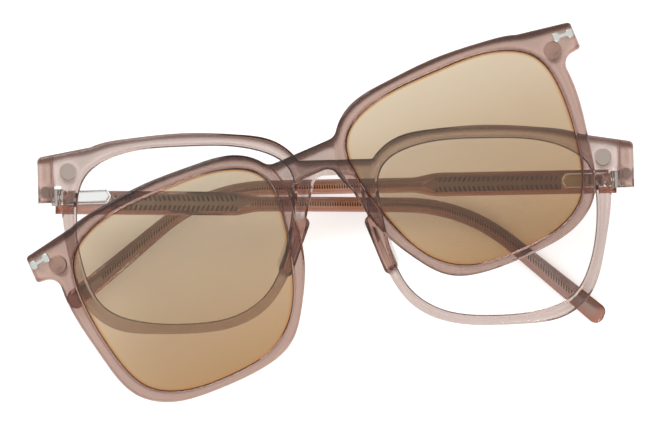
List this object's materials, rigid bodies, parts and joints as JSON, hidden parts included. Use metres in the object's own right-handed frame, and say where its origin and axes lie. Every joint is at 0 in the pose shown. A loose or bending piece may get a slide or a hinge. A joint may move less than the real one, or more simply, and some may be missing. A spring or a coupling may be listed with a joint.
{
  "type": "eyeglasses with a magnetic tinted clip",
  "caption": "Clear plastic spectacles lying face up with folded temples, and a magnetic tinted clip-on front lying turned across them.",
  "frame": {"origin": "middle of the bounding box's base, on the surface that the folded temples lie on", "axes": "+X to the wearer's left along the front, +Y up the face, +Z out of the front of the lenses"},
  "size_m": [0.145, 0.0874, 0.0349],
  "materials": {
    "front_plastic": "polished, clear taupe tint",
    "temple_plastic": "polished, clear taupe tint",
    "clip_plastic": "polished, clear taupe tint",
    "clear_lens": "clear, coated",
    "tinted_lens": "brown tint that deepens towards the lower edge",
    "magnet": "nickel plated, satin",
    "steel": "plain machined",
    "chromed_metal": "polished plate",
    "core_metal": "coined and plated",
    "rivet_metal": "polished plate"
  },
  "bodies": {
    "front": {"front_frame": "front_plastic", "lens_left": "clear_lens", "lens_right": "clear_lens", "front_magnet_left": "magnet", "front_magnet_right": "magnet", "hinge_leaf_left": "steel", "hinge_leaf_right": "steel", "hinge_screw_left": "steel", "hinge_screw_right": "steel"},
    "temple_left": {"temple_left": "temple_plastic", "temple_core_left": "core_metal", "hinge_box_left": "chromed_metal"},
    "temple_right": {"temple_right": "temple_plastic", "temple_core_right": "core_metal", "hinge_box_right": "chromed_metal"},
    "clip": {"clip_frame": "clip_plastic", "clip_lens_left": "tinted_lens", "clip_lens_right": "tinted_lens", "clip_magnet_left": "magnet", "clip_magnet_right": "magnet", "clip_rivet_left": "rivet_metal", "clip_rivet_right": "rivet_metal"}
  },
  "joints": [
    {"name": "temple_right_fold", "type": "hinge", "parent": "front", "child": "temple_right", "pos_m": [-0.06449, 0.00559, 0.01396], "axis": [0, 1, 0], "range_deg": [0, 85.4]},
    {"name": "temple_left_fold", "type": "hinge", "parent": "front", "child": "temple_left", "pos_m": [0.06751, 0.00629, 0.01396], "axis": [0, -1, 0], "range_deg": [0, 89.3]},
    {"name": "clip_turn", "type": "hinge", "parent": "front", "child": "clip", "pos_m": [-0.00684, -0.00651, 0.03129], "axis": [-0.0315, -0.0687, 0.9971], "range_deg": [-21.87, 0]}
  ],
  "couplings": [
    {"joint": "temple_left_fold", "follows": "temple_right_fold", "ratio": 1.045}
  ]
}
